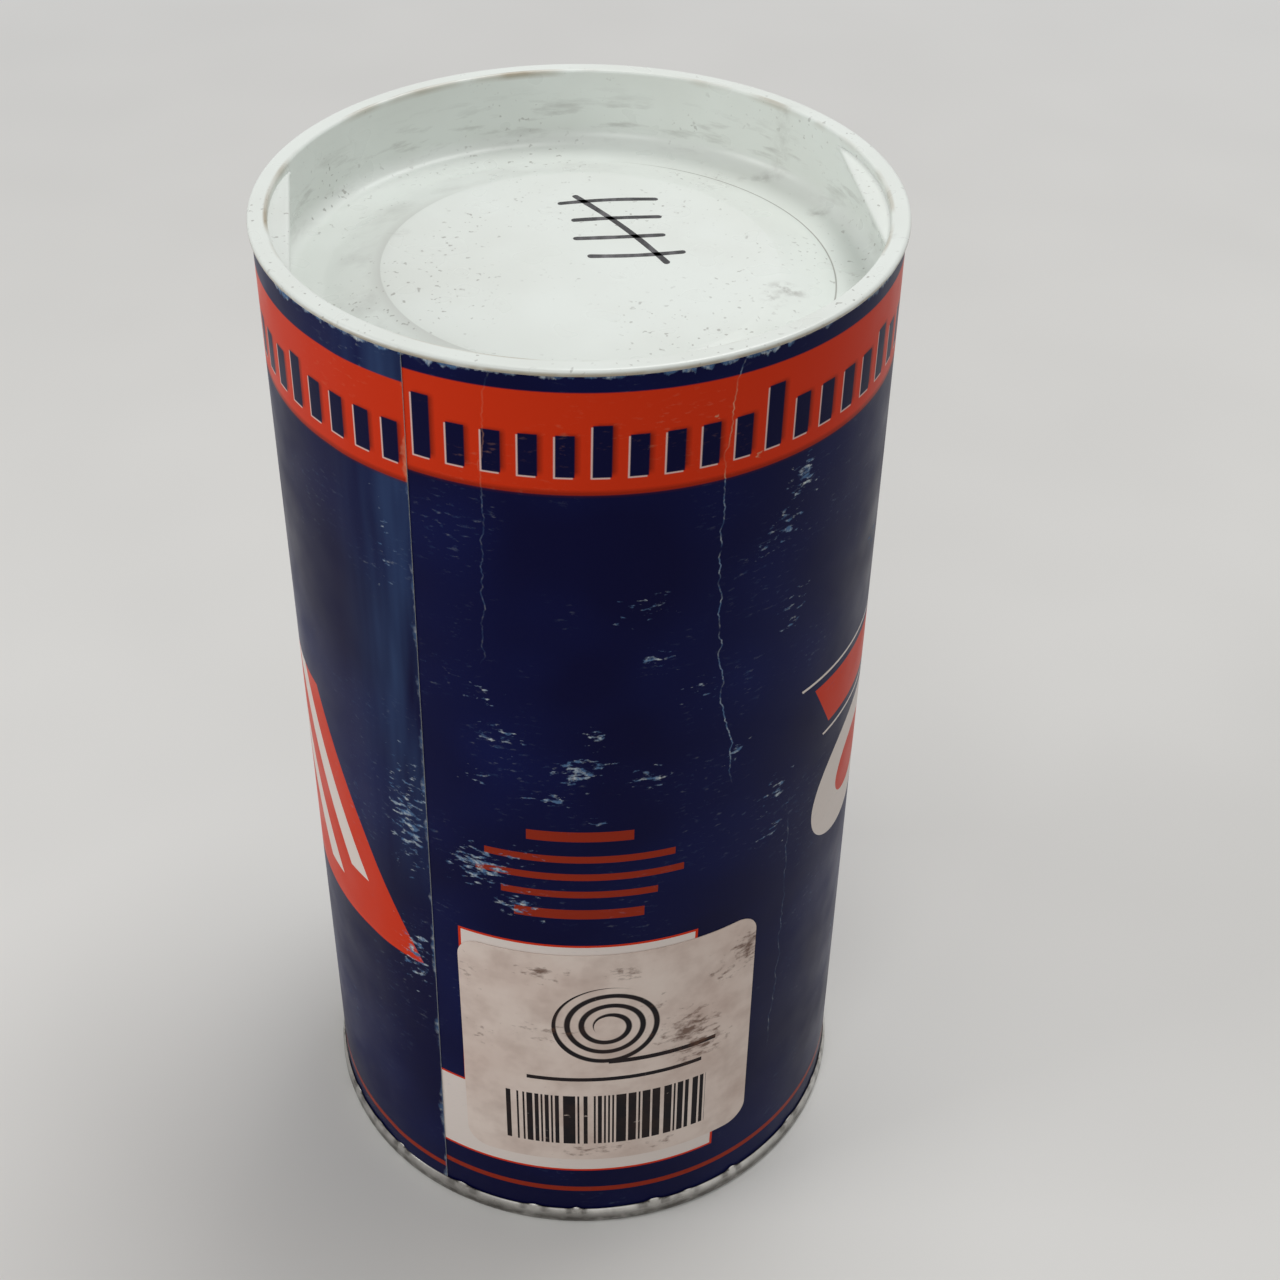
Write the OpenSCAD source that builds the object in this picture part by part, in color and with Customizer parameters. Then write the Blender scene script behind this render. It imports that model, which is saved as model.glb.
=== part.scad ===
// Shim stock canister: a paper-wrapped paperboard can with a crimped tinplate bottom and a recessed
// plug lid, holding a coiled strip of stainless shim stock.
// Millimetres. It stands upright with its origin at the middle of its foot, and its front faces -Y.

/* [Shim roll] */
// Width of the strip, which stands upright in the can
strip_w = 152.4; // [100:0.1:300]
// Turns of strip in the roll, the innermost one unfinished
turns = 5; // [3:1:8]
// Distance from one turn to the next
turn_pitch = 0.5; // [0.4:0.05:0.8]
// Gap that shows between the turns at each end
turn_gap = 0.2; // [0.1:0.05:0.3]
// Depth to which the gaps are open at each end
turn_gap_depth = 1.5; // [0.5:0.5:5]
// How far round the innermost turn goes before the strip ends, in degrees
inner_turn_sweep = 205; // [60:5:300]
// Clearance between the roll and the tube
roll_slip = 0.3; // [0.1:0.1:1]
// Headroom between the roll and the lid
headroom = 2.1; // [0.5:0.1:10]

/* [Tube] */
// Inside diameter of the paperboard tube
tube_bore = 88.9; // [70:0.1:120]
// Thickness of the tube's wall
tube_wall = 0.9; // [0.6:0.1:1.6]

/* [Paper wrap] */
// Thickness of the printed paper
wrap_t = 0.15; // [0.1:0.05:0.3]
// Thickness of the glue under paper
glue_line = 0.02; // [0.01:0.01:0.05]
// Width of the lap where the wrap's two ends meet
lap_w = 10; // [4:1:20]
// Angle of the lap's edge from the front, negative to the left
lap_angle = -28.9; // [-60:0.1:60]
// Lean of the lap's edge from upright, in degrees
lap_lean = 0.8; // [0:0.1:2]

/* [Sticker] */
// Width of the sticker round the can
sticker_w = 50; // [20:1:60]
// Height of the sticker
sticker_h = 51; // [20:1:80]
// Corner radius of the sticker
sticker_corner = 4; // [1:0.5:8]
// Thickness of the sticker
sticker_t = 0.12; // [0.08:0.01:0.3]
// Angle of the sticker's middle from the front, positive to the right
sticker_angle = 7.6; // [-10:0.1:60]
// Height of the sticker's lower edge above the foot
sticker_low = 17.3; // [8:0.1:40]

/* [Bottom end] */
// Thickness of the tinplate
plate_t = 0.3; // [0.2:0.05:0.5]
// Height of the rolled seam
seam_h = 3.5; // [2.5:0.1:6]
// Thickness of the seam's folded skirt, at its fullest
seam_wall = 0.5; // [0.4:0.05:1]
// How far the seam's bead swells out past its upper edge
seam_bulge = 0.3; // [0.1:0.05:0.35]
// Pinched peaks round the seam's upper edge
crimp_count = 27; // [12:1:40]
// Radius of a pinched peak
crimp_r = 0.9; // [0.5:0.1:1.5]
// Least and greatest rise of a peak above the seam's edge
crimp_rise = [0.25, 0.7]; // [0.1:0.05:1]
// Thickness of the folded foot under the tube's edge
foot_t = 0.8; // [0.6:0.1:1.2]
// Radius of the foot's inner edge
foot_round = 0.6; // [0.3:0.1:0.6]
// Clearance between the tinplate and the paper
seam_slip = 0.05; // [0.03:0.01:0.2]
// Height of the countersunk ring that carries the roll
ring_lift = 6; // [4:0.1:12]
// Width of the countersunk ring
ring_w = 4.5; // [3:0.1:8]
// How far the middle panel lies below the ring
panel_drop = 1.2; // [0.5:0.1:2]

/* [Lid] */
// Depth of the lid's recess below its rim
lid_recess = 12; // [8:0.1:25]
// Thickness of the plug's wall
lid_wall = 0.95; // [0.7:0.05:1.5]
// Thickness of the lid's floor
lid_floor = 1.1; // [0.8:0.1:2]
// Clearance between the plug and the tube
lid_fit = 0.3; // [0.2:0.05:0.6]
// Radius between the recess's wall and its floor
lid_fillet = 2.7; // [1:0.1:4]
// Radius of the plug's lower edge
plug_round = 1; // [0.5:0.1:1]
// Thickness of the rim
rim_t = 1.1; // [0.8:0.1:2]
// How far the rim stands out past the wrap
rim_lip = 0.48; // [0.2:0.02:2]
// Radius of the rim's inner edge
rim_round = 0.5; // [0.2:0.1:0.6]
// Diameter of the raised panel in the lid's floor
panel_d = 56.8; // [30:0.1:60]
// Width of the slope round the raised panel
slope_w = 8; // [3:0.1:9]
// Height of the raised panel
panel_rise = 2; // [0.5:0.1:4]
// How far each pull tab reaches in from the wall
tab_reach = 3; // [2:0.1:8]
// Thickness of a pull tab
tab_t = 1; // [0.8:0.1:1.6]
// Depth of the pull tabs below the rim
tab_drop = 1.5; // [0.5:0.1:4]
// Angle of the pull tabs about the can
tab_turn = 8.5; // [0:0.5:90]

/* [Hidden] */
$fn = 128;
// Radii, from the middle outwards
tube_ri = tube_bore / 2;
tube_ro = tube_ri + tube_wall;
wrap_ri = tube_ro + glue_line;
wrap_ro = wrap_ri + wrap_t;
lap_ro = wrap_ro + wrap_t;
sticker_ri = wrap_ro + glue_line;
sticker_ro = sticker_ri + sticker_t;
skirt_ri = lap_ro + seam_slip;
skirt_ro = skirt_ri + seam_wall;
bead_r = (seam_h * seam_h / 4 + seam_bulge * seam_bulge) / (2 * seam_bulge);
chuck_ro = tube_ri - seam_slip;
chuck_ri = chuck_ro - plate_t;
ring_ri = chuck_ro - ring_w;
roll_ro = tube_ri - roll_slip;
roll_ri = roll_ro - turns * turn_pitch;
plug_ro = tube_ri - lid_fit;
plug_ri = plug_ro - lid_wall;
rim_ro = wrap_ro + rim_lip;
panel_r = panel_d / 2;
slope_r = panel_r + slope_w;
// Heights, from the foot upwards
tube_z0 = foot_t;
roll_z0 = ring_lift;
roll_z1 = roll_z0 + strip_w;
lid_z0 = roll_z1 + headroom;
floor_z = lid_z0 + lid_floor;
rim_z1 = floor_z + lid_recess;
rim_z0 = rim_z1 - rim_t;
tab_z = rim_z1 - tab_drop - tab_t;
overall_h = rim_z1;
// The front faces -Y
front = -90;
// Overlap that lets a cut run clear through
cut = 1;

// A plain ring between two radii and two heights
module ring(ri, ro, z0, z1) {
  translate([0, 0, z0]) difference() {
    cylinder(r = ro, h = z1 - z0);
    translate([0, 0, -cut]) cylinder(r = ri, h = z1 - z0 + 2 * cut);
  }
}

// A stretch of a ring, its middle at an angle from the front
module arc_band(ri, ro, z0, z1, middle, sweep) {
  rotate([0, 0, front + middle - sweep / 2])
    rotate_extrude(angle = sweep) translate([ri, z0]) square([ro - ri, z1 - z0]);
}

// A rectangle of a section, given by two corners
module span(r0, z0, r1, z1) {
  translate([r0, z0]) square([r1 - r0, z1 - z0]);
}

// The paperboard tube
module tube() {
  color([0.66, 0.53, 0.38]) ring(tube_ri, tube_ro, tube_z0, rim_z0);
}

// The printed paper wrap, with its left end lapped over its right end
module wrap_label() {
  color([0.06, 0.07, 0.18]) union() {
    ring(wrap_ri, wrap_ro, tube_z0, rim_z0);
    intersection() {
      ring(wrap_ri, lap_ro, tube_z0, rim_z0);
      translate([0, 0, overall_h / 2]) rotate([0, 0, front + lap_angle]) rotate([-lap_lean, 0, 0])
        translate([0, -lap_w, -overall_h]) cube([2 * lap_ro, lap_w, 2 * overall_h]);
    }
  }
}

// A rectangle with round corners, from its middle
module round_plate(w, h, r) {
  square([w - 2 * r, h], center = true);
  square([w, h - 2 * r], center = true);
  for (x = [-1, 1], y = [-1, 1]) translate([x * (w / 2 - r), y * (h / 2 - r)]) circle(r = r);
}

// The sticker, bent round the wrap
module sticker() {
  half_sweep = sticker_w / sticker_ri * 90 / PI;
  chord = 2 * sticker_ri * sin(half_sweep);
  color([0.78, 0.64, 0.60]) intersection() {
    ring(sticker_ri, sticker_ro, sticker_low - cut, sticker_low + sticker_h + cut);
    rotate([0, 0, sticker_angle]) translate([0, 0, sticker_low + sticker_h / 2]) rotate([90, 0, 0])
      linear_extrude(2 * sticker_ro) round_plate(chord, sticker_h, sticker_corner);
  }
}

// Section of the tinplate end: beaded seam, foot, chuck wall, countersunk ring and dropped middle panel
module end_section() {
  intersection() {
    span(skirt_ri, 0, skirt_ro, seam_h);
    translate([skirt_ro - bead_r, seam_h / 2]) circle(r = bead_r);
  }
  span(chuck_ri, foot_round, skirt_ri, foot_t);
  span(chuck_ri + foot_round, 0, skirt_ri, foot_t);
  intersection() {
    translate([chuck_ri + foot_round, foot_round]) circle(r = foot_round);
    span(chuck_ri, 0, chuck_ri + foot_round, foot_round);
  }
  span(chuck_ri, foot_round, chuck_ro, ring_lift);
  span(ring_ri, ring_lift - plate_t, chuck_ro, ring_lift);
  slope_run = panel_drop;
  polygon([
    [ring_ri, ring_lift], [ring_ri - slope_run, ring_lift - panel_drop], [0, ring_lift - panel_drop],
    [0, ring_lift - panel_drop - plate_t], [ring_ri - slope_run, ring_lift - panel_drop - plate_t],
    [ring_ri, ring_lift - plate_t]
  ]);
}

// The peaks left by the seaming rolls, spaced and sized unevenly round the seam's upper edge
module crimp_peaks() {
  step = 360 / crimp_count;
  intersection() {
    ring(skirt_ri, skirt_ro - seam_bulge, seam_h - crimp_r, seam_h + crimp_rise[1] + cut);
    for (i = [0 : crimp_count - 1]) {
      rise = crimp_rise[0] + (crimp_rise[1] - crimp_rise[0]) * (0.5 + 0.5 * sin(i * 137));
      rotate([0, 0, front + step * (i + 0.3 * sin(i * 101))])
        translate([skirt_ri - cut, 0, seam_h + rise - crimp_r]) rotate([0, 90, 0]) cylinder(r = crimp_r, h = 2 * cut);
    }
  }
}

// The tinplate bottom end, seamed round the foot of the tube
module bottom_end() {
  color([0.72, 0.72, 0.70]) union() {
    rotate_extrude() end_section();
    crimp_peaks();
  }
}

// The coiled strip: one turned solid whose turns show at both ends, with the strip's free end inside
module shim_roll() {
  color([0.74, 0.75, 0.76]) difference() {
    ring(roll_ri, roll_ro, roll_z0, roll_z1);
    for (i = [1 : turns - 1], z = [roll_z0 - cut, roll_z1 - turn_gap_depth]) {
      r = roll_ri + i * turn_pitch;
      ring(r - turn_gap / 2, r + turn_gap / 2, z, z + turn_gap_depth + cut);
    }
    arc_band(roll_ri - cut, roll_ri + turn_pitch, roll_z0 - cut, roll_z1 + cut, 0, 360 - inner_turn_sweep);
  }
}

// Section of the lid: rim, plug wall, floor and raised panel
module lid_section() {
  edge = rim_t / 2;
  span(plug_ri + rim_round, rim_z0, rim_ro - edge, rim_z1);
  translate([rim_ro - edge, rim_z0 + edge]) circle(r = edge);
  translate([plug_ri + rim_round, rim_z1 - rim_round]) circle(r = rim_round);
  span(plug_ri, lid_z0 + plug_round, plug_ro, rim_z1 - rim_round);
  translate([plug_ro - plug_round, lid_z0 + plug_round]) circle(r = plug_round);
  span(slope_r, lid_z0, plug_ro - plug_round, floor_z);
  difference() {
    span(plug_ri - lid_fillet, floor_z - lid_floor / 2, plug_ro - lid_wall / 2, floor_z + lid_fillet);
    translate([plug_ri - lid_fillet, floor_z + lid_fillet]) circle(r = lid_fillet);
  }
  polygon([
    [0, lid_z0 + panel_rise], [panel_r, lid_z0 + panel_rise], [slope_r, lid_z0],
    [slope_r, floor_z], [panel_r, floor_z + panel_rise], [0, floor_z + panel_rise]
  ]);
}

// One half-moon pull tab across the recess, its straight edge rounded
module pull_tab() {
  chord = plug_ri - tab_reach;
  translate([0, 0, tab_z]) intersection() {
    cylinder(r = plug_ro - lid_wall / 2, h = tab_t);
    union() {
      translate([chord + tab_t / 2, -plug_ro, 0]) cube([plug_ro, 2 * plug_ro, tab_t]);
      translate([chord + tab_t / 2, 0, tab_t / 2]) rotate([90, 0, 0])
        cylinder(r = tab_t / 2, h = 2 * plug_ro, center = true);
    }
  }
}

// The moulded plug lid with its two pull tabs
module lid() {
  color([0.92, 0.93, 0.91]) union() {
    rotate_extrude() lid_section();
    for (side = [0, 180]) rotate([0, 0, tab_turn + side]) pull_tab();
  }
}

tube();
wrap_label();
sticker();
bottom_end();
shim_roll();
lid();
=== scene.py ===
import math

import bpy
from mathutils import Matrix, Vector, noise


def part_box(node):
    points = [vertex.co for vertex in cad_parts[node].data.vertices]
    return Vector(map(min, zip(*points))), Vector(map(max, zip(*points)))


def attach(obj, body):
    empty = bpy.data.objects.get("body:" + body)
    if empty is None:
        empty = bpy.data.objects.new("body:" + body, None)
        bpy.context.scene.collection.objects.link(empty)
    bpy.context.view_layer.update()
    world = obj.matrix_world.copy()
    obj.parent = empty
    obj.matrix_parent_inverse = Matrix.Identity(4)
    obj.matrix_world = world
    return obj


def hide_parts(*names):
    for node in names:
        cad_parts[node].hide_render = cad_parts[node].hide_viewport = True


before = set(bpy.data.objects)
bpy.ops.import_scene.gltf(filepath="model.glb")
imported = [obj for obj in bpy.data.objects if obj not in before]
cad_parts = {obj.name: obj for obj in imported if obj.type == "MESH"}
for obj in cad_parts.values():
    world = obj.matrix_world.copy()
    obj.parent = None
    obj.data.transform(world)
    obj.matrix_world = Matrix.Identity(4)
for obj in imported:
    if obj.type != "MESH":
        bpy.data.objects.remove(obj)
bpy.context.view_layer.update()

# Lengths below are millimetres; the scene is in metres
mm = 0.001
scene = bpy.context.scene
scene.view_settings.view_transform = "Standard"


def nodeBox(node):
    low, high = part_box(node)
    return [c / mm for c in low], [c / mm for c in high]


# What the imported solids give
lidLow, lidHigh = nodeBox("lid")
wrapLow, wrapHigh = nodeBox("wrap_label")
endHigh = nodeBox("bottom_end")[1]
rollLow, rollHigh = nodeBox("shim_roll")
stickerLow, stickerHigh = nodeBox("sticker")
print("frame loaded:", sorted(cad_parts))

# The camera stands where the photograph was taken from
photoView = {
    "framePixels": 1280,
    "focalPixels": 2021.6,
    "eye": (9.39, -257.61, 303.06),
    "pitch": 39.0,
    "roll": 1.0,
    "sensor": 36.0,
}

lens = bpy.data.cameras.new("photoCamera")
lens.sensor_width = photoView["sensor"]
lens.lens = photoView["focalPixels"] / photoView["framePixels"] * photoView["sensor"]
lens.clip_start = 0.01
cameraObject = bpy.data.objects.new("photoCamera", lens)
scene.collection.objects.link(cameraObject)
tilt = Matrix.Rotation(math.radians(90 - photoView["pitch"]), 4, "X")
roll = Matrix.Rotation(math.radians(photoView["roll"]), 4, "Z")
cameraObject.matrix_world = Matrix.Translation(Vector(photoView["eye"]) * mm) @ tilt @ roll
scene.camera = cameraObject
print("camera set")


# Materials

def toLinear(hexColour):
    channels = [int(hexColour[i:i + 2], 16) / 255 for i in (1, 3, 5)]
    return [c / 12.92 if c <= 0.04045 else ((c + 0.055) / 1.055) ** 2.4 for c in channels] + [1.0]


def addNode(tree, kind, links=None, out=0, **settings):
    node = tree.nodes.new("ShaderNode" + kind)
    for name, value in settings.items():
        setattr(node, name, value)
    for key, value in (links or {}).items():
        if isinstance(value, bpy.types.NodeSocket):
            tree.links.new(value, node.inputs[key])
        else:
            node.inputs[key].default_value = value
    return node.outputs[out] if node.outputs else node


def newMaterial(name, surface):
    material = bpy.data.materials.new(name)
    material.use_nodes = True
    tree = material.node_tree
    tree.nodes.clear()
    shader = addNode(tree, "BsdfPrincipled", surface(tree))
    addNode(tree, "OutputMaterial", {"Surface": shader})
    return material


# The piece's own place in millimetres, for patterns that have a real size
def placeInMm(tree):
    own = addNode(tree, "TexCoord", out=3)
    return addNode(tree, "VectorMath", {0: own, "Scale": 1 / mm}, operation="SCALE")


# Soft patches about size millimetres across, none below low and full above high
def blotches(tree, place, size, low, high, stretch=(1, 1, 1), detail=4.0):
    pulled = addNode(tree, "VectorMath", {0: place, 1: [s / size for s in stretch]}, operation="MULTIPLY")
    cloud = addNode(tree, "TexNoise", {"Vector": pulled, "Scale": 1.0, "Detail": detail, "Roughness": 0.6})
    return addNode(tree, "MapRange", {0: cloud, 1: low, 2: high})


# A mark is made of masks and strengths that multiply; where marks meet, the strongest one counts
def marked(tree, *marks):
    total = None
    for mask, *others in marks:
        for other in others:
            mask = addNode(tree, "Math", {0: mask, 1: other}, operation="MULTIPLY")
        if total is None:
            total = mask
        else:
            total = addNode(tree, "Math", {0: total, 1: mask}, operation="MAXIMUM")
    return total


# Colours laid one over another, each where its mask is
def layered(tree, colour, *layers):
    for mask, over in layers:
        pair = [toLinear(c) if isinstance(c, str) else c for c in (colour, over)]
        colour = addNode(tree, "Mix", {0: mask, 6: pair[0], 7: pair[1]}, 2, data_type="RGBA")
    return colour


# Ink, soil or shine between two places along one direction, with crisp edges unless they are soft
def strip(tree, place, low, high, soft=0.0):
    if not soft:
        middle, half = (low + high) / 2, (high - low) / 2
        return addNode(tree, "Math", {0: place, 1: middle, 2: half}, operation="COMPARE")
    rise = addNode(tree, "MapRange", {0: place, 1: low - soft / 2, 2: low + soft / 2})
    fall = addNode(tree, "MapRange", {0: place, 1: high - soft / 2, 2: high + soft / 2, 3: 1.0, 4: 0.0})
    return marked(tree, (rise, fall))


# A printed rectangle: left, right, low and high edges
def block(tree, along, up, edges):
    return marked(tree, (strip(tree, along, *edges[:2]), strip(tree, up, *edges[2:])))


# How far a place is from an oval's middle, seen along z: 1 at the oval's edge
def fromOval(tree, place, x, y, halfW, halfH):
    shrink = (1 / halfW, 1 / halfH, 0)
    offset = (-x / halfW, -y / halfH, 0)
    away = addNode(tree, "VectorMath", {0: place, 1: shrink, 2: offset}, operation="MULTIPLY_ADD")
    return addNode(tree, "VectorMath", {0: away}, 1, operation="LENGTH")


# Shapes

def addPiece(name, verts, faces, body, replaced, materials, sharp=32):
    mesh = bpy.data.meshes.new(name)
    mesh.from_pydata([(x * mm, y * mm, z * mm) for x, y, z in verts], [], faces)
    mesh.shade_smooth()
    mesh.set_sharp_from_angle(angle=math.radians(sharp))
    for material in materials:
        mesh.materials.append(material)
    piece = bpy.data.objects.new(name, mesh)
    scene.collection.objects.link(piece)
    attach(piece, body)
    if replaced:
        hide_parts(replaced)
    return piece


# A point on the can: azimuth 0 is the front, and it grows to the right
def onCan(radius, azimuth, z):
    return radius * math.sin(azimuth), -radius * math.cos(azimuth), z


def arc(r, z, radius, start, stop, steps):
    angles = [math.radians(start + (stop - start) * k / steps) for k in range(steps + 1)]
    return [(r + radius * math.cos(a), z + radius * math.sin(a)) for a in angles]


# Turns a section about the can's axis; shape moves each point by its azimuth
def spun(section, steps, shape=None):
    verts = []
    rings = []
    for r, z in section:
        if r < 1e-6:
            rings.append([len(verts)])
            verts.append((0.0, 0.0, z))
            continue
        rings.append(list(range(len(verts), len(verts) + steps)))
        for k in range(steps):
            azimuth = 2 * math.pi * k / steps
            movedR, movedZ = shape(r, z, azimuth) if shape else (r, z)
            verts.append(onCan(movedR, azimuth, movedZ))
    faces = []
    for low, high in zip(rings, rings[1:]):
        for k in range(steps):
            lower = low[k % len(low)], low[(k + 1) % len(low)]
            upper = high[(k + 1) % len(high)], high[k % len(high)]
            faces.append(list(dict.fromkeys(lower + upper)))
    return verts, faces


# A closed thin shell between two grids of points; its last faces, which are counted, are its edges
def shell(outer, inner):
    rows = len(outer)
    columns = len(outer[0])
    verts = [p for row in outer for p in row] + [p for row in inner for p in row]
    back = rows * columns
    faces = []
    for i in range(rows - 1):
        for j in range(columns - 1):
            a = i * columns + j
            faces.append((a, a + columns, a + columns + 1, a + 1))
            faces.append((back + a, back + a + 1, back + a + columns + 1, back + a + columns))
    edge = [i * columns for i in range(rows)]
    edge += [(rows - 1) * columns + j for j in range(1, columns)]
    edge += [i * columns + columns - 1 for i in range(rows - 2, -1, -1)]
    edge += [j for j in range(columns - 2, 0, -1)]
    for a, b in zip(edge, edge[1:] + edge[:1]):
        faces.append((b, a, back + a, back + b))
    return verts, faces, len(edge)


# A sheet bent round the can, from columns of points: outer radius, inner radius, azimuth and height
def bentSheet(columns):
    outer = [[onCan(out, azimuth, z) for out, into, azimuth, z in column] for column in columns]
    inner = [[onCan(into, azimuth, z) for out, into, azimuth, z in column] for column in columns]
    return shell(outer, inner)


# How strong the strongest soft spot is at a place on a sheet, each as along, up, half sizes and strength
def spotAt(along, up, spotList):
    nearest = [(math.hypot((along - x) / w, (up - y) / h), strength) for x, y, w, h, strength in spotList]
    return max(strength * max(0, 1 - away) for away, strength in nearest)


# Keeps each point's place on its flat sheet, in millimetres, and how worn it is there
def keepSheet(piece, places, wear):
    kept = piece.data.attributes.new("sheetMm", "FLOAT_VECTOR", "POINT")
    flat = [c for along, up in places for c in (along, up, spotAt(along, up, wear))]
    kept.data.foreach_set("vector", flat + flat)


# The kept place as a flat vector, its two directions and the wear
def readSheet(tree):
    kept = addNode(tree, "Attribute", out=1, attribute_name="sheetMm")
    sheet = addNode(tree, "VectorMath", {0: kept, 1: (1, 1, 0)}, operation="MULTIPLY")
    return [sheet] + [addNode(tree, "SeparateXYZ", {0: kept}, k) for k in range(3)]


# Plug lid

lid = {
    "plugR": 44.15,
    "wallR": 43.2,
    "rimThickness": 1.1,
    "rimInner": 0.5,
    "floorThickness": 1.1,
    "fillet": 2.7,
    "plugRound": 1.0,
    "panelR": 28.4,
    "slopeR": 36.4,
    "panelRise": 2.0,
    "softEdge": 0.25,
    "flatFrom": 1.2,
    "steps": 288,
    "tabReach": 3.0,
    "tabThickness": 1.0,
    "tabDrop": 1.5,
    "tabTurn": 8.5,
    "tabFlare": 0.4,
    "tabColumns": 48,
    "tabSink": 0.25,
    "flareReach": 0.35,
    "white": "#dfe4df",
    "whiteDull": "#d9ddd7",
    # Grey of the dirt, and of the shade painted on the slope and at the panel's edge
    "dulling": "#84807a",
    "beige": "#9d9078",
    # Smudges as x, y, half width, half height and strength
    "smudges": [
        (29.2, -6.4, 3.6, 2.4, 1.0), (27.2, -9.3, 2.4, 2.6, 0.8), (41.6, -9.4, 2.0, 1.8, 0.9),
        (44.8, -10.2, 1.8, 0.3, 1.0), (-27.0, 8.0, 2.2, 1.4, 0.6), (35.0, 20.0, 2.4, 2.4, 0.6),
        (27.0, 31.0, 6.0, 1.6, 0.5),
    ],
}
rimR = lidHigh[0]
rimTop = lidHigh[2]
plugFoot = lidLow[2]
recessFloor = plugFoot + lid["floorThickness"]
panelTop = recessFloor + lid["panelRise"]


# Injection-moulded polyethylene: a waxy satin white that holds grey rubbed-in dirt, with shade painted grey
# on the left of the slope round the panel and just outside the panel's edge
def mouldedPolyethylene(tree):
    place = placeInMm(tree)
    x, y, z = [addNode(tree, "SeparateXYZ", {0: place}, k) for k in range(3)]
    radius = fromOval(tree, place, 0, 0, 1, 1)
    wallR, panelR, slopeR = lid["wallR"], lid["panelR"], lid["slopeR"]
    # Dirt rubbed round the wall, in streaks that follow it
    wall = strip(tree, z, recessFloor + 1.0, rimTop - 4.5, 5.0)
    onWall = addNode(tree, "MapRange", {0: radius, 1: wallR - 2.0, 2: wallR - 1.0})
    streaks = blotches(tree, place, 8.0, 0.53, 0.72, (1, 1, 4.5))
    darkMarks = [(wall, onWall, streaks, 0.42)]
    # Painted shade on the slope round the raised panel, more of it on the left, broken up in patches
    slope = strip(tree, radius, panelR + 0.5, slopeR - 1.5, 3.0)
    leftward = addNode(tree, "MapRange", {0: x, 1: 18.0, 2: -22.0, 3: 0.15, 4: 1.0})
    slopeMottle = blotches(tree, place, 7.0, 0.46, 0.75)
    darkMarks.append((slope, leftward, slopeMottle, 0.3))
    # Painted shade just outside the panel's edge, crisp towards the panel, on the left and in front
    outside = strip(tree, radius, panelR, rimR * 2, 0.15)
    away = addNode(tree, "MapRange", {0: radius, 1: panelR, 2: panelR + 2.0, 3: 1.0, 4: 0.0})
    sideways = addNode(tree, "Math", {0: y, 1: 0.8, 2: x}, operation="MULTIPLY_ADD")
    sided = addNode(tree, "MapRange", {0: sideways, 1: 6.0, 2: -16.0})
    darkMarks.append((outside, away, sided, 0.26))
    # A thin darker line in the foot of the slope, on the right
    foot = strip(tree, radius, slopeR - 0.02, slopeR + 0.2, 0.12)
    rightward = addNode(tree, "MapRange", {0: x, 1: 4.0, 2: 16.0})
    darkMarks.append((foot, rightward, 0.8))
    # Specks, and smudges from fingers
    specks = blotches(tree, place, 0.9, 0.66, 0.73, detail=1.0)
    sparse = blotches(tree, place, 14.0, 0.45, 0.62, detail=2.0)
    darkMarks.append((specks, sparse, 0.6))
    rubbed = blotches(tree, place, 1.6, 0.42, 0.66)
    smudges = []
    for *oval, strength in lid["smudges"]:
        smudge = addNode(tree, "MapRange", {0: fromOval(tree, place, *oval), 3: strength, 4: 0.0})
        smudges.append((smudge,))
    darkMarks.append((marked(tree, *smudges), rubbed, 0.85))
    # Dirt and painted shade together, in one grey
    darkening = marked(tree, *darkMarks)
    # Beige grime under the lip and along the rim's inner edge
    lip = strip(tree, radius, rimR - 0.5, rimR + 1, 0.3)
    under = addNode(tree, "MapRange", {0: z, 1: rimTop - 0.25, 2: rimTop - 0.6})
    lipCloud = blotches(tree, place, 5.0, 0.2, 0.5, detail=2.0)
    innerEdge = strip(tree, radius, wallR - 0.1, wallR + 0.5, 0.3)
    onTop = addNode(tree, "MapRange", {0: z, 1: rimTop - 1.2, 2: rimTop - 0.5})
    patchy = blotches(tree, place, 16.0, 0.5, 0.72, detail=2.0)
    dulling = marked(tree, (lip, under, lipCloud, 0.85), (innerEdge, onTop, patchy, 0.85))
    tone = blotches(tree, place, 22.0, 0.35, 0.7, detail=2.0)
    layers = (tone, lid["whiteDull"]), (darkening, lid["dulling"]), (dulling, lid["beige"])
    sheen = blotches(tree, place, 6.0, 0.3, 0.7, detail=1.0)
    rough = addNode(tree, "MapRange", {0: sheen, 3: 0.26, 4: 0.36})
    rough = addNode(tree, "Math", {0: darkening, 1: 0.3, 2: rough}, operation="MULTIPLY_ADD")
    # Fine orange peel off the mould, about half a millimetre across
    peel = blotches(tree, place, 0.6, 0.3, 0.7, detail=2.0)
    bump = addNode(tree, "Bump", {"Height": peel, "Strength": 0.4, "Distance": 0.003 * mm})
    return {
        "Base Color": layered(tree, lid["white"], *layers),
        "Roughness": rough,
        "IOR": 1.51,
        "Normal": bump,
    }


lidMaterial = newMaterial("mouldedPolyethylene", mouldedPolyethylene)


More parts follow.
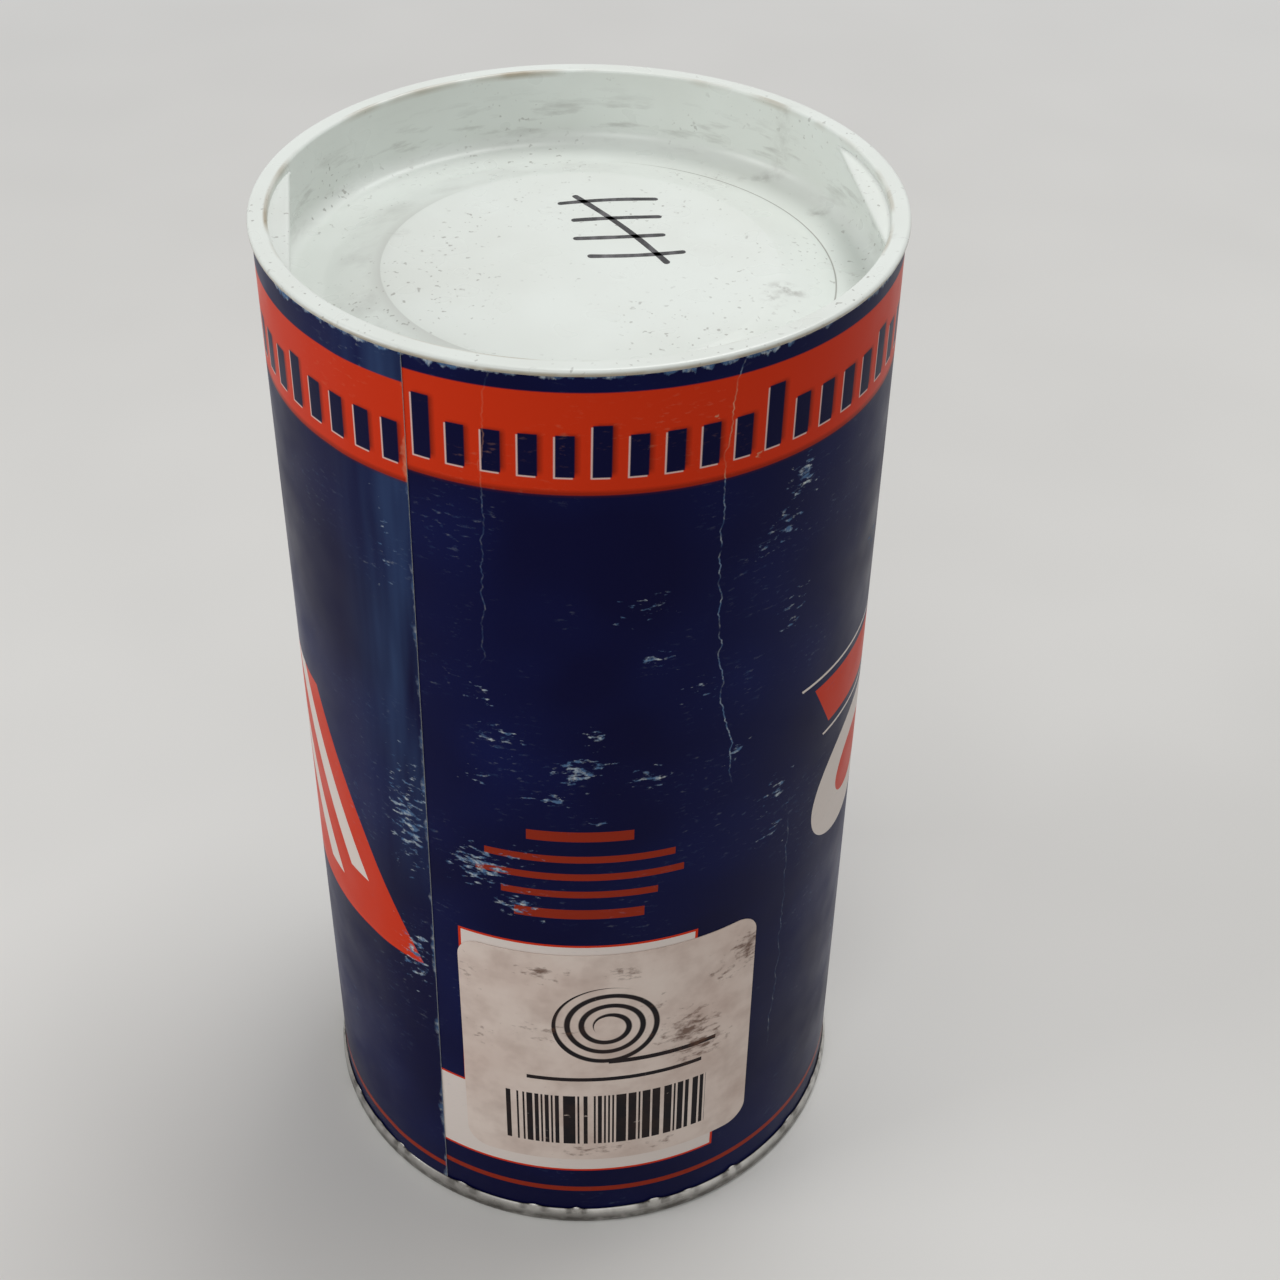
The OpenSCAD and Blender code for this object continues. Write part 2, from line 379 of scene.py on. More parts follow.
def lidSection():
    rimLow = rimTop - lid["rimThickness"]
    edge = lid["rimThickness"] / 2
    soft = lid["softEdge"]
    panelR, slopeR, wallR = lid["panelR"], lid["slopeR"], lid["wallR"]
    rise = lid["panelRise"]
    plugRound = lid["plugRound"]
    fillet = lid["fillet"]
    under = plugFoot + rise
    section = [(0, under), (panelR - 1, under), (panelR, under), (slopeR, plugFoot), (slopeR + 1, plugFoot)]
    section += arc(lid["plugR"] - plugRound, plugFoot + plugRound, plugRound, -90, 0, 6)
    section += [(lid["plugR"], rimLow - 0.5), (lid["plugR"], rimLow)]
    section += arc(rimR - edge, rimLow + edge, edge, -90, 90, 14)
    section += [(rimR - edge - 0.3, rimTop), (wallR + lid["rimInner"] + 0.3, rimTop)]
    section += arc(wallR + lid["rimInner"], rimTop - lid["rimInner"], lid["rimInner"], 90, 180, 8)
    section += [(wallR, rimTop - 1.0), (wallR, recessFloor + fillet + 0.8)]
    section += arc(wallR - fillet, recessFloor + fillet, fillet, 0, -90, 12)
    # Points a little way from each soft edge keep the faces beside it flat
    away = lid["flatFrom"]
    section += [(slopeR + away, recessFloor), (slopeR + soft, recessFloor)]
    grade = rise / (slopeR - panelR)
    section += [(slopeR - soft, recessFloor + soft * grade), (slopeR - away, recessFloor + away * grade)]
    section += [(panelR + away, panelTop - away * grade), (panelR + soft, panelTop - soft * grade)]
    section += [(r, panelTop) for r in (panelR - soft, panelR - away, panelR / 2, 0)]
    return section


verts, faces = spun(lidSection(), lid["steps"])
addPiece("plugLid", verts, faces, "lid", "lid", [lidMaterial])


# A half-moon tab across the recess: straight rounded nose, flared where it grows out of the wall
def pullTab(name, turn):
    sink = lid["tabSink"]
    half = lid["tabThickness"] / 2
    middle = rimTop - lid["tabDrop"] - half
    chord = lid["wallR"] - lid["tabReach"]
    reachY = math.sqrt(lid["wallR"] ** 2 - chord ** 2)
    flats = 8
    rings = []
    for i in range(lid["tabColumns"] + 1):
        y = reachY * (2 * i / lid["tabColumns"] - 1) * 0.995
        wallX = math.sqrt((lid["wallR"] + sink) ** 2 - y * y)
        width = max(wallX - chord - half, 0.02)
        flare = lid["tabFlare"] * min(1, width / 1.5)
        run = [width * k / flats for k in range(flats + 1)]
        top = [(wallX - d, half + flare * math.exp(-max(d - sink, 0) / lid["flareReach"])) for d in run]
        nose = arc(wallX - width, 0, half, 90, 270, 8)[1:-1]
        bottom = [(x, -z) for x, z in reversed(top)]
        rings.append([(x, y, middle + z) for x, z in top + nose + bottom])
    size = len(rings[0])
    tabVerts = [Matrix.Rotation(math.radians(turn), 3, "Z") @ Vector(p) for ring in rings for p in ring]
    tabFaces = [list(range(size)), list(range(len(tabVerts) - 1, len(tabVerts) - size - 1, -1))]
    for i in range(len(rings) - 1):
        for k in range(size):
            a = i * size + k
            b = i * size + (k + 1) % size
            tabFaces.append((a, a + size, b + size, b))
    addPiece(name, tabVerts, tabFaces, "lid", None, [lidMaterial], 50)


pullTab("pullTabRight", lid["tabTurn"])
pullTab("pullTabLeft", lid["tabTurn"] + 180)
print("lid made")


# Marker strokes on the lid: a plain tally

tally = {
    "middle": (5.5, 10.5),
    "turn": -76.0,
    "length": 15.0,
    "gap": 5.6,
    "width": 1.0,
    "lift": 0.02,
    "ink": "#1b191d",
    "inkThin": "#6a686c",
}


# Solvent marker ink: thin black that dries streaky and a little glossy
def markerInk(tree):
    thin = blotches(tree, placeInMm(tree), 2.2, 0.45, 0.8, (1, 0.3, 1))
    colour = layered(tree, tally["ink"], (thin, tally["inkThin"]))
    return {"Base Color": colour, "Roughness": 0.34, "IOR": 1.5}


inkMaterial = newMaterial("driedMarkerInk", markerInk)


def markerStroke(name, fromPoint, toPoint, bend):
    steps = 28
    turn = Matrix.Rotation(math.radians(tally["turn"]), 2)
    start, stop = [Vector(tally["middle"]) + turn @ Vector(p) for p in (fromPoint, toPoint)]
    along = (stop - start).normalized()
    side = Vector((-along.y, along.x))
    outer = []
    inner = []
    for i in range(steps + 1):
        t = 0.5 - 0.5 * math.cos(math.pi * i / steps)
        centre = start.lerp(stop, t) + side * bend * math.sin(math.pi * t)
        # Round ends, and the small unevenness of a hand-held pen
        toEnd = min(1, (stop - start).length * min(t, 1 - t) / tally["width"] * 2 + 0.05)
        uneven = 1 + 0.14 * noise.noise(Vector((start.x, t * 7, start.y)))
        half = tally["width"] / 2 * uneven * math.sqrt(1 - (1 - toEnd) ** 2)
        pair = [centre + side * half, centre - side * half]
        outer.append([(p.x, p.y, panelTop + tally["lift"]) for p in pair])
        inner.append([(p.x, p.y, panelTop - tally["lift"]) for p in pair])
    strokeVerts, strokeFaces = shell(outer, inner)[:2]
    addPiece(name, strokeVerts, strokeFaces, "lid", None, [inkMaterial])


reach = tally["length"] / 2
for i in range(4):
    x = (i - 1.5) * tally["gap"]
    low = (x - 0.9, -reach + 0.9 * (i % 2))
    high = (x + 0.7, reach - 0.8 * (i % 3))
    markerStroke("tallyStroke%d" % (i + 1), low, high, 0.5 - 0.3 * i)
markerStroke("tallyStroke5", (-2.05 * tally["gap"], -4.6), (2.15 * tally["gap"], 4.2), 0.7)
print("tally made")


# Printed paper wrap

wrap = {
    "paper": 0.15,
    "overlap": 10.0,
    "lapAngle": -28.9,
    "lapLean": 0.8,
    "lapRamp": 5.0,
    "column": 1.6,
    "rows": 110,
    "unevenness": 0.05,
    "unevenRound": 2.2,
    "unevenTall": 55.0,
    "steadyEdge": 8.0,
    "skew": 2.1,
    "navy": "#070832",
    # Pale blue of the sheen painted beside the lap
    "navyLit": "#0c1446",
    "sheenPaint": "#31476e",
    "orange": "#cb3210",
    "orangeDark": "#4f120b",
    "orangeDull": "#8f2a16",
    "white": "#dbd0c9",
    "rubbedBlue": "#4d6a8e",
    "rubbedWhite": "#c9cfce",
    "rubbedOrange": "#d8925c",
    "cutGrey": "#9aa3a8",
    "cutPale": "#c9c9c2",
    "bandLow": 155.0,
    "bandHigh": 170.3,
    "tickCount": 60,
    "tickWidth": 2.5,
    "tickFoot": 157.7,
    "tickShort": 6.4,
    "tickMid": 7.9,
    "tickTall": 9.6,
    # How the ticks are overprinted: shift, softness, ink and strength
    "tickShades": [(0.45, 0.9, "orangeDark", 0.75), (-0.22, 0.15, "white", 0.75), (0.0, 0.15, "navy", 1.0)],
    "panelLeft": -18.2,
    "panelFoot": 14.6,
    "panelStep": 32.6,
    "panelTop": 70.2,
    "panelWide": (37.6, 43.0),
    "outline": 0.45,
    # Rules as low edge, height and half length
    "rulesMiddle": (1.0, 86.0),
    "rules": [(93.0, 2.0, 8.0), (88.6, 1.4, 14.5), (84.9, 1.4, 16.0), (81.2, 1.4, 12.0), (76.6, 2.0, 10.0)],
    "footRule": (8.4, 9.6),
    # Leaning shapes on the left and on the right: where they start, then left, right, low, high and ink
    "lean": 0.55,
    "motifs": [
        (-25.37, 60.0, [
            (-38.0, 0.0, 60.0, 104.0, "orange"),
            (-11.0, -6.0, 71.0, 104.0, "white"),
            (-22.0, -17.0, 66.0, 104.0, "white"),
        ]),
        (41.0, 104.0, [
            (0.0, 62.0, 97.4, 97.9, "white"),
            (2.4, 62.0, 99.4, 108.6, "orange"),
            (0.0, 62.0, 110.1, 110.6, "white"),
        ]),
    ],
    "ovalMiddle": (59.0, 83.5),
    "ovalHalf": (15.5, 12.0),
    "ovalTip": -0.25,
    "ovalHole": 0.48,
    "shimStart": (81.0, 72.0),
    "shimHigh": (52.0, 92.0),
    "shimGap": 2.6,
    "shims": (1.2, 2.0, 3.0, 4.2, 5.6, 7.2),
    # Ruled lines on the back: width, foot and top
    "ruled": (48.0, 46.0, 130.0),
    "ruledPitch": 7.0,
}
wrapR = wrapHigh[0]
wrapTop = wrapHigh[2]
wrapFoot = wrapLow[2]
girth = 2 * math.pi * wrapR
canMiddle = lidHigh[2] / 2


# How far round from the front the lap's edge is, at a height
def lapPlace(z):
    lean = (z - canMiddle) * math.sin(math.radians(wrap["lapLean"]))
    return wrapR * math.radians(wrap["lapAngle"]) + lean


# A place on the can, from the front and the foot, as a place on the sheet, from its lap
def onSheet(around, z):
    return (around - lapPlace(z)) % girth, z


# Where the print is scuffed, from the front and the foot
scuffs = [
    (1.2, 107, 8, 6, 1.0), (-10.3, 112.0, 7, 5, 0.9), (11.0, 104.6, 7, 5, 0.85),
    (-14.3, 85.5, 11, 9, 1.0), (-8.2, 78.6, 9, 6, 0.9), (19.2, 119.3, 8, 7, 0.7),
    (34.1, 150.0, 6, 6, 1.0), (31.5, 143.5, 6, 6, 0.9), (27.6, 141.0, 4, 4, 0.85),
    (33.0, 93.3, 9, 9, 0.7), (32.6, 85.2, 8, 8, 0.7), (10.8, 135.8, 9, 6, 0.72),
    (-12.5, 119.5, 6, 4, 0.85), (3.0, 113.5, 4, 4, 0.9), (12.0, 126.5, 6, 6, 0.76),
    (25.0, 105.6, 5, 5, 0.8), (-3.0, 101.0, 9, 4, 0.78), (-14.0, 104.0, 7, 4, 0.72),
    (4.0, 97.0, 8, 3, 0.7), (-7.0, 90.0, 7, 4, 0.72), (34.0, 127.0, 6, 12, 0.7),
    (-26.5, 90.0, 8, 26, 0.9), (-27.0, 60.0, 7, 18, 0.9), (-18.8, 124.0, 5, 8, 0.5),
    (-27.0, 140.0, 5, 24, 0.55), (19.8, 165.0, 2.2, 1.8, 0.9), (25.9, 156.8, 2.6, 1.8, 0.8),
    (-6.5, 168.6, 2.0, 1.4, 0.7), (-48.0, 30.0, 10, 12, 0.6), (-58.0, 36.0, 7, 5, 0.75),
    (58.0, 126.0, 8, 4, 0.8), (67.0, 119.0, 9, 5, 0.75), (60.0, 40.0, 7, 5, 0.8),
    (104.0, 112.0, 9, 5, 0.85), (113.0, 104.0, 11, 6, 0.9), (107.0, 94.0, 7, 4, 0.8),
    (137.0, 46.0, 8, 5, 0.8), (143.0, 38.0, 10, 6, 0.85), (128.0, 148.0, 9, 5, 0.8),
    (-110.0, 86.0, 9, 6, 0.8), (-101.0, 76.0, 11, 7, 0.9), (-108.0, 60.0, 9, 5, 0.85),
    (-84.0, 140.0, 8, 6, 0.8), (-92.0, 132.0, 6, 4, 0.75), (-70.0, 124.0, 8, 5, 0.7),
]

# Cracked folds, from the front and the foot
folds = [
    {"around": 20.6, "upright": 147.0, "bow": 0.0022, "low": 102.0, "high": 172.0, "strength": 0.85},
    {"around": -12.6, "upright": 110.0, "bow": 0.0003, "low": 128.0, "high": 172.0, "strength": 0.3},
    {"around": 36.9, "upright": 60.0, "bow": -0.001, "low": 34.0, "high": 86.0, "strength": 0.3},
]


# Coated label paper, offset printed and varnished: dense flat ink with a soft gloss, rubbed through at the
# folds, the lap and the top edge, where the pale sheet shows
def varnishedPrint(tree):
    sheet, along, up, gathered = readSheet(tree)
    # The sheet was wrapped a little out of square, so the print doesn't meet itself at the lap
    printUp = addNode(tree, "Math", {0: along, 1: wrap["skew"] / girth, 2: up}, operation="MULTIPLY_ADD")
    cloud = blotches(tree, sheet, 38.0, 0.4, 0.7, detail=2.0)
    # Painted sheen beside the lap: a pale blue over the navy, in soft upright streaks
    fromLap = addNode(tree, "Math", {0: girth, 1: along}, operation="SUBTRACT")
    beside = addNode(tree, "MapRange", {0: fromLap, 1: 15.0, 2: 3.0})
    sheenHeight = strip(tree, up, 88.0, 190.0, 34.0)
    paintedSheen = blotches(tree, sheet, 7.0, 0.28, 0.72, (1.6, 0.16, 1), 2.0)
    inks = [(cloud, "navyLit"), (marked(tree, (paintedSheen, beside, sheenHeight, 0.75)), "sheenPaint")]

    band = strip(tree, printUp, wrap["bandLow"], wrap["bandHigh"], 0.2)
    bandShade = strip(tree, printUp, wrap["bandLow"] - 0.1, wrap["bandLow"] + 0.5, 0.8)
    inks += [(band, "orange"), (marked(tree, (bandShade, 0.7)), "orangeDark")]

    # The band holds a plain gauge scale: dark ticks with a soft shadow and a pale edge
    pitch = girth / wrap["tickCount"]
    count = addNode(tree, "Math", {0: along, 1: pitch}, operation="DIVIDE")
    index = addNode(tree, "Math", {0: count}, operation="FLOOR")
    part = addNode(tree, "Math", {0: count}, operation="FRACT")
    tickTop = wrap["tickFoot"] + wrap["tickShort"]
    steps = (5, wrap["tickMid"] - wrap["tickShort"]), (10, wrap["tickTall"] - wrap["tickMid"])
    for every, taller in steps:
        turnOf = addNode(tree, "Math", {0: index, 1: every}, operation="MODULO")
        isOne = addNode(tree, "Math", {0: turnOf, 1: 0.5}, operation="LESS_THAN")
        tickTop = addNode(tree, "Math", {0: isOne, 1: taller, 2: tickTop}, operation="MULTIPLY_ADD")
    below = addNode(tree, "Math", {0: tickTop, 1: printUp}, operation="SUBTRACT")
    for shift, soft, ink, strength in wrap["tickShades"]:
        left = 0.5 * pitch - wrap["tickWidth"] / 2 + shift
        right = left + wrap["tickWidth"]
        tick = strip(tree, part, left / pitch, right / pitch, soft / pitch)
        foot = wrap["tickFoot"] + shift
        above = addNode(tree, "MapRange", {0: printUp, 1: foot - soft / 2, 2: foot + soft / 2})
        within = addNode(tree, "MapRange", {0: below, 1: -shift, 2: soft - shift, 4: strength})
        inks.append((marked(tree, (tick, above, within)), ink))

    # A white panel in two steps, outlined in orange, where the sticker goes
    left = onSheet(wrap["panelLeft"], wrap["panelTop"])[0]
    step = wrap["panelStep"]
    upperWide, lowerWide = wrap["panelWide"]
    upperPart = left, left + upperWide, step, wrap["panelTop"]
    lowerPart = 0.0, left + lowerWide, wrap["panelFoot"], step + 0.4
    for grow, ink in ((wrap["outline"], "orange"), (0.0, "white")):
        for a, b, c, d in (upperPart, lowerPart):
            inks.append((block(tree, along, printUp, (a - grow, b + grow, c - grow, d + grow)), ink))

    # Plain rules above the panel, and one round the foot
    middle = onSheet(*wrap["rulesMiddle"])[0]
    for low, tall, half in wrap["rules"]:
        rule = block(tree, along, printUp, (middle - half, middle + half, low, low + tall))
        inks.append((rule, "orangeDull"))
    inks.append((strip(tree, printUp, *wrap["footRule"]), "orangeDull"))

    # Left, a leaning block with two bars on it; right, a bar between two thin rules
    lean = wrap["lean"]
    leaning = addNode(tree, "Math", {0: printUp, 1: lean, 2: along}, operation="MULTIPLY_ADD")
    for around, level, shapes in wrap["motifs"]:
        start = onSheet(around, level)[0] + lean * level
        for left, right, low, high, ink in shapes:
            inks.append((block(tree, leaning, printUp, (start + left, start + right, low, high)), ink))

    # Under the bar, a coil seen aslant
    ovalX, ovalZ = onSheet(*wrap["ovalMiddle"])
    tip = wrap["ovalTip"]
    tipped = addNode(tree, "Math", {0: printUp, 1: tip, 2: along}, operation="MULTIPLY_ADD")
    tipped = addNode(tree, "CombineXYZ", {0: tipped, 1: printUp})
    far = fromOval(tree, tipped, ovalX + tip * ovalZ, ovalZ, *wrap["ovalHalf"])
    inks += [(strip(tree, far, 0.0, 1.0), "white"), (strip(tree, far, 0.0, wrap["ovalHole"]), "orange")]

    # Upright bars further round that grow thicker, like a row of shims
    barX = onSheet(*wrap["shimStart"])[0]
    for k, width in enumerate(wrap["shims"]):
        bar = block(tree, along, printUp, (barX, barX + width, *wrap["shimHigh"]))
        inks.append((bar, "white" if k % 2 else "orange"))
        barX += width + wrap["shimGap"]

    # Plain ruled lines on the back
    ruledWide, low, high = wrap["ruled"]
    left = onSheet(0.0, 90.0)[0] + girth / 2 - ruledWide / 2
    fromLine = addNode(tree, "Math", {0: printUp, 1: wrap["ruledPitch"], 2: 0.0}, operation="WRAP")
    area = block(tree, along, printUp, (left, left + ruledWide, low, high))
    inks.append((marked(tree, (strip(tree, fromLine, 3.0, 3.5), area)), "orange"))

    # Wear: chips along the top edge
    chipCloud = blotches(tree, sheet, 2.2, 0.36, 0.72, (1, 0.7, 1))
    depth = addNode(tree, "Math", {0: wrapTop, 1: up}, operation="SUBTRACT")
    region = blotches(tree, sheet, 17.0, 0.36, 0.66, detail=2.0)
    region = addNode(tree, "MapRange", {0: region, 3: 0.45, 4: 2.1})
    chips = addNode(tree, "Math", {0: marked(tree, (chipCloud, region)), 1: depth}, operation="SUBTRACT")
    chips = addNode(tree, "MapRange", {0: chips, 1: 0.15, 2: 0.6})
    # The lap's cut edge, rubbed pale
    lapCloud = blotches(tree, sheet, 4.0, 0.48, 0.74, (1, 0.6, 1))
    lapReach = addNode(tree, "Math", {0: lapCloud, 1: 1.3, 2: 0.16}, operation="MULTIPLY_ADD")
    lapRub = addNode(tree, "Math", {0: lapReach, 1: fromLap}, operation="SUBTRACT")
    lapRub = addNode(tree, "MapRange", {0: lapRub, 1: 0.0, 2: 0.7, 4: 0.6})
    # Scuffs: short strokes, mostly level, gathered in patches
    strokes = blotches(tree, sheet, 1.5, 0.4, 0.8, (0.7, 1.7, 1))
    scuff = addNode(tree, "Math", {0: gathered, 1: strokes}, operation="ADD")
    scuff = addNode(tree, "MapRange", {0: scuff, 1: 0.98, 2: 1.22})
    # Faint rubbing all over, here and there
    faint = blotches(tree, sheet, 1.1, 0.58, 0.78, (0.6, 1.6, 1), 3.0)
    where = blotches(tree, sheet, 19.0, 0.5, 0.7, detail=2.0)
    wear = [(chips,), (lapRub,), (scuff,), (faint, where, 0.4)]
    # Folds: thin pale lines that wander down the wrap
    wavy = {"W": up, "Scale": 1 / 7.0, "Detail": 4.0, "Roughness": 0.55}
    wander = addNode(tree, "TexNoise", wavy, noise_dimensions="1D")
    wander = addNode(tree, "Math", {0: wander, 1: -0.5}, operation="ADD")
    broken = blotches(tree, sheet, 4.0, 0.3, 0.6, detail=2.0)
    for fold in folds:
        start = onSheet(fold["around"], fold["upright"])[0]
        rise = addNode(tree, "Math", {0: up, 1: fold["upright"]}, operation="SUBTRACT")
        squared = addNode(tree, "Math", {0: rise, 1: rise}, operation="MULTIPLY")
        bowed = addNode(tree, "Math", {0: squared, 1: fold["bow"], 2: start}, operation="MULTIPLY_ADD")
        course = addNode(tree, "Math", {0: wander, 1: 2.6, 2: bowed}, operation="MULTIPLY_ADD")
        off = addNode(tree, "Math", {0: along, 1: course}, operation="SUBTRACT")
        line = strip(tree, off, -0.1, 0.1, 0.1)
        stretch = strip(tree, up, fold["low"], fold["high"], 6.0)
        wear.append((line, stretch, broken, fold["strength"]))
    worn = marked(tree, *wear)

    pale = blotches(tree, sheet, 1.3, 0.46, 0.7)
    onBand = marked(tree, (band, 0.75))
    rubbed = layered(tree, wrap["rubbedBlue"], (pale, wrap["rubbedWhite"]), (onBand, wrap["rubbedOrange"]))
    layers = [(mask, wrap[ink]) for mask, ink in inks] + [(worn, rubbed)]
    gloss = blotches(tree, sheet, 11.0, 0.3, 0.7, detail=2.0)
    rough = addNode(tree, "MapRange", {0: gloss, 3: 0.28, 4: 0.4})
    rough = addNode(tree, "Math", {0: worn, 1: 0.35, 2: rough}, operation="MULTIPLY_ADD")
    grain = blotches(tree, sheet, 0.35, 0.3, 0.7, detail=2.0)
    bump = addNode(tree, "Bump", {"Height": grain, "Strength": 0.6, "Distance": 0.006 * mm})
    return {
        "Base Color": layered(tree, wrap["navy"], *layers),
        "Roughness": rough,
        "IOR": 1.45,
        "Specular IOR Level": 0.06,
        "Normal": bump,
    }


# The cut edge of the sheet: bare fibre, matt and pale
def cutPaper(tree):
    fibre = blotches(tree, placeInMm(tree), 0.8, 0.3, 0.7)
    colour = layered(tree, wrap["cutGrey"], (fibre, wrap["cutPale"]))
    return {"Base Color": colour, "Roughness": 0.85, "IOR": 1.4}


printMaterial = newMaterial("varnishedPrintedPaper", varnishedPrint)
edgeMaterial = newMaterial("cutPaperEdge", cutPaper)


def wrapSheet():
    count = int((girth + wrap["overlap"]) / wrap["column"])
    columns = []
    places = []
    for i in range(count + 1):
        along = -wrap["overlap"] + (girth + wrap["overlap"]) * i / count
        # The last stretch climbs over the first and lies on it
        climb = (along - (girth - wrap["overlap"] - wrap["lapRamp"])) / wrap["lapRamp"]
        climb = min(1, max(0, climb))
        lift = (wrap["paper"] + 0.01) * climb * climb * (3 - 2 * climb)
        column = []
        for j in range(wrap["rows"] + 1):
            z = wrapFoot + (wrapTop - wrapFoot) * j / wrap["rows"]
            azimuth = (lapPlace(z) + along) / wrapR
            around = Vector((math.sin(azimuth), math.cos(azimuth))) * wrap["unevenRound"]
            uneven = noise.noise(Vector((*around, z / wrap["unevenTall"])))
            steady = min(1, (z - wrapFoot) / wrap["steadyEdge"], (wrapTop - z) / wrap["steadyEdge"])
            r = wrapR + lift + wrap["unevenness"] * uneven * steady
            column.append((r, wrapR - wrap["paper"] + lift, azimuth, z))
            places.append((along, z))
        columns.append(column)
    return columns, places


columns, places = wrapSheet()
verts, faces, edges = bentSheet(columns)
sheetMaterials = [printMaterial, edgeMaterial]
wrapPiece = addPiece("printedWrap", verts, faces, "can", "wrap_label", sheetMaterials)
keepSheet(wrapPiece, places, [(*onSheet(a, z), w, h, strength) for a, z, w, h, strength in scuffs])
for polygon in wrapPiece.data.polygons[-edges:]:
    polygon.material_index = 1
print("wrap made:", len(verts), "points")


# Sticker

sticker = {
    "width": 50.0,
    "corner": 4.0,
    "angle": 7.6,
    "thickness": 0.12,
    "columns": 56,
    "rows": 40,
    "paper": "#dccdc3",
    "paperDark": "#cbb6ab",
    "darkening": "#5c3f31",
    "ink": "#141014",
    "barModule": 0.34,
    "bars": (-11.7, 22.5, 21.6, 34.2),
    "coilMiddle": (5.5, 51.5),
    "coilRing": (2.4, 9.2),
    "coilPitch": 2.3,
    "peelReach": 3.5,
    "peelLift": 0.18,
}
stickerR = wrapR + 0.02
stickerFoot = stickerLow[2]
stickerTop = stickerHigh[2]


# Where hands have soiled it
handled = [
    (30.0, 61.0, 6, 7, 1.0), (25.0, 58.0, 6, 5, 0.6), (19.0, 47.0, 9, 8, 0.95),
    (21.0, 42.0, 8, 6, 0.9), (-5.0, 64.0, 7, 3, 0.8), (8.0, 64.0, 6, 3, 0.75),
    (-17.0, 60.0, 4, 8, 0.5), (-4.0, 50.0, 10, 5, 0.55), (3.0, 20.0, 12, 3, 0.7),
    (14.0, 19.5, 9, 3, 0.6), (-15.0, 47.0, 5, 4, 0.5), (12.0, 55.0, 8, 4, 0.5),
]


# Uncoated label paper, thermally printed: matt, faintly fibrous, soiled by handling
def labelPaper(tree):
    sheet, along, up, gathered = readSheet(tree)
    tone = blotches(tree, sheet, 16.0, 0.35, 0.7)
    # Plain upright bars of chance widths, which stand for nothing
    count = addNode(tree, "Math", {0: along, 1: sticker["barModule"]}, operation="DIVIDE")
    index = addNode(tree, "Math", {0: count}, operation="FLOOR")
    chance = addNode(tree, "TexWhiteNoise", {"W": index}, noise_dimensions="1D")
    bar = addNode(tree, "Math", {0: chance, 1: 0.56}, operation="LESS_THAN")
    area = block(tree, along, up, sticker["bars"])
    # A coil pictogram with its strip running off, and a rule under it
    coilX, coilZ = sticker["coilMiddle"]
    coilIn, coilOut = sticker["coilRing"]
    apart = addNode(tree, "VectorMath", {0: sheet, 1: (coilX, coilZ, 0)}, operation="SUBTRACT")
    radius = addNode(tree, "VectorMath", {0: apart}, 1, operation="LENGTH")
    apartX, apartZ = [addNode(tree, "SeparateXYZ", {0: apart}, k) for k in range(2)]
    angle = addNode(tree, "Math", {0: apartZ, 1: apartX}, operation="ARCTAN2")
    turnsOut = addNode(tree, "Math", {0: radius, 1: sticker["coilPitch"]}, operation="DIVIDE")
    turned = addNode(tree, "Math", {0: angle, 1: 0.5 / math.pi, 2: turnsOut}, operation="MULTIPLY_ADD")
    part = addNode(tree, "Math", {0: turned}, operation="FRACT")
    line = strip(tree, part, 0.2, 0.62, 0.08)
    ring = strip(tree, radius, coilIn, coilOut)
    tail = block(tree, along, up, (coilX, coilX + 18.5, coilZ - coilOut, coilZ - coilOut + 1.0))
    rule = block(tree, along, up, (coilX - 13.5, coilX + 16.0, 38.0, 38.9))
    lost = blotches(tree, sheet, 2.6, 0.66, 0.74, (0.6, 1.4, 1))
    kept = addNode(tree, "Math", {0: 1.0, 1: lost}, operation="SUBTRACT")
    ink = marked(tree, (bar, area, kept), (line, ring, kept), (tail, kept), (rule, kept))
    # Handling dirt: brown smears in patches, and a soft film
    smears = blotches(tree, sheet, 1.6, 0.35, 0.78, (0.75, 1.35, 1))
    darkening = addNode(tree, "Math", {0: gathered, 1: smears}, operation="ADD")
    darkening = addNode(tree, "MapRange", {0: darkening, 1: 0.8, 2: 1.3, 4: 0.85})
    film = blotches(tree, sheet, 8.0, 0.45, 0.8)
    darkening = marked(tree, (darkening,), (film, 0.22))
    layers = (tone, sticker["paperDark"]), (ink, sticker["ink"]), (darkening, sticker["darkening"])
    fibre = blotches(tree, sheet, 0.4, 0.3, 0.7, detail=2.0)
    bump = addNode(tree, "Bump", {"Height": fibre, "Strength": 0.35, "Distance": 0.02 * mm})
    return {
        "Base Color": layered(tree, sticker["paper"], *layers),
        "Roughness": 0.72,
        "IOR": 1.45,
        "Specular IOR Level": 0.2,
        "Normal": bump,
    }


stickerMaterial = newMaterial("soiledLabelPaper", labelPaper)


def stickerSheet():
    centre = stickerR * math.radians(sticker["angle"])
    corner = sticker["corner"]
    columns = []
    places = []
    for i in range(sticker["columns"] + 1):
        # Columns crowd towards both ends, where the corners are
        t = 0.5 - 0.5 * math.cos(math.pi * i / sticker["columns"])
        fromEdge = min(t, 1 - t) * sticker["width"]
        cut = corner - math.sqrt(max(0, corner ** 2 - max(0, corner - fromEdge) ** 2))
        along = centre + (t - 0.5) * sticker["width"]
        column = []
        for j in range(sticker["rows"] + 1):
            v = j / sticker["rows"]
            z = stickerFoot + cut + (stickerTop - stickerFoot - 2 * cut) * v
            peel = max(0, 1 - fromEdge / sticker["peelReach"])
            peel *= max(0, noise.noise(Vector((3.1 * t, z / 9, 1.7))))
            r = stickerR + sticker["peelLift"] * peel
            column.append((r + sticker["thickness"], r, along / stickerR, z))
            places.append((along, z))
        columns.append(column)
    return columns, places


columns, places = stickerSheet()
verts, faces = bentSheet(columns)[:2]
stickerPiece = addPiece("frontSticker", verts, faces, "can", "sticker", [stickerMaterial])
keepSheet(stickerPiece, places, handled)
print("sticker made")


# Tinplate end

